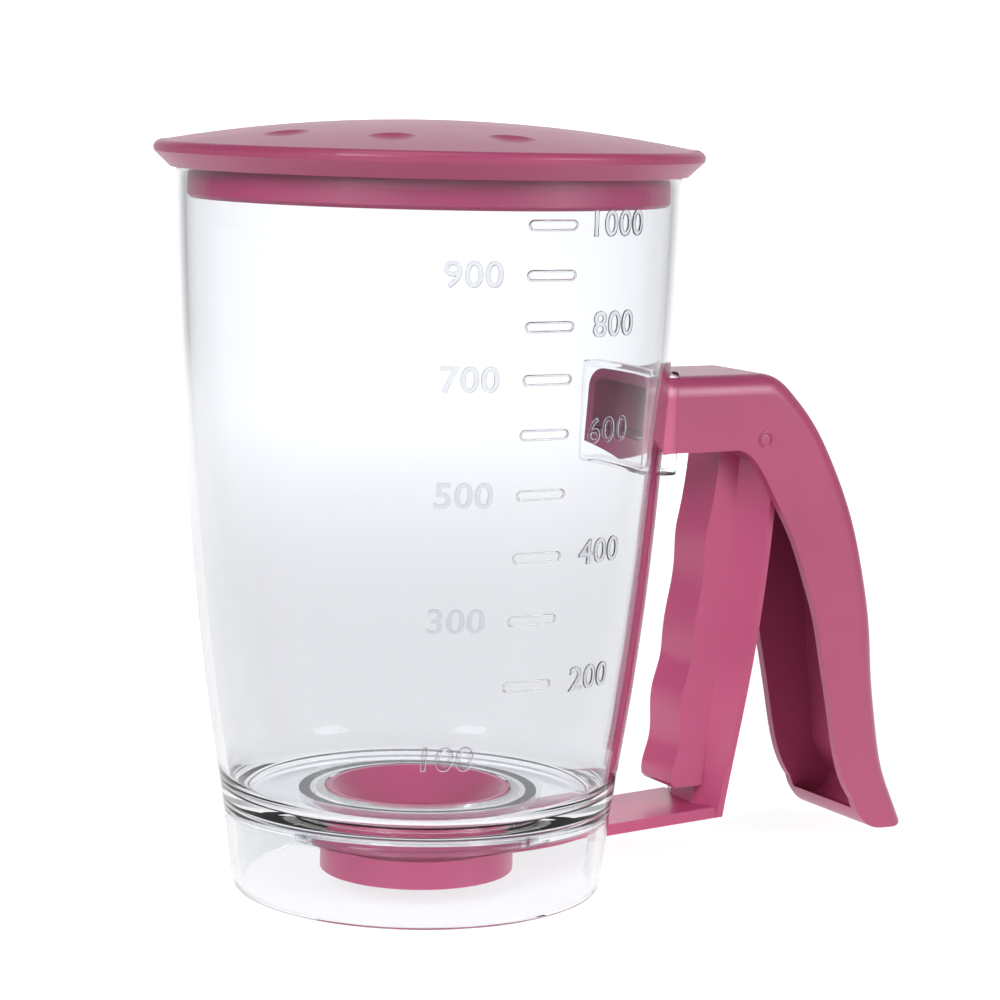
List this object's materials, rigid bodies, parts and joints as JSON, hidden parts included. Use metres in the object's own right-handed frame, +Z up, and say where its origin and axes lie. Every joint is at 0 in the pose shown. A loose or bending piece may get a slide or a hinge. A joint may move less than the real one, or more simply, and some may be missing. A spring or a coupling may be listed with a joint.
{
  "type": "pancake batter dispenser",
  "caption": "Clear measuring cup with a side handle and a squeeze lever that opens a round valve under the floor, closed by a lift-off plug lid.",
  "frame": {"origin": "centre of the cup's base ring where it stands on the table", "axes": "+Z up along the cup's axis, +X towards the handle, scale marks on the -Y side"},
  "size_m": [0.1879, 0.1216, 0.1723],
  "materials": {
    "clear_cup": "clear glossy styrene acrylonitrile",
    "raspberry": "satin moulded plastic",
    "pin_plastic": "satin moulded plastic",
    "spring_steel": "drawn stainless wire",
    "silicone": "soft translucent silicone"
  },
  "bodies": {
    "cup": {"cup": "clear_cup", "handle_shell": "raspberry", "pivot_pin": "pin_plastic", "nozzle": "raspberry", "nozzle_gasket": "silicone", "return_spring": "spring_steel"},
    "trigger": {"trigger_lever": "raspberry", "valve_disc": "raspberry", "valve_seal": "silicone"},
    "lid": {"lid": "raspberry"}
  },
  "joints": [
    {"name": "trigger_squeeze", "type": "hinge", "parent": "cup", "child": "trigger", "pos_m": [0.082, 0, 0.0998], "axis": [0, -1, 0], "range_deg": [0, 20], "stiffness_Nm_per_rad": 0.35, "springref_deg": -20.05},
    {"name": "lid_lift", "type": "slide", "parent": "cup", "child": "lid", "axis": [0, 0, 1], "range_m": [0, 0.08]}
  ]
}
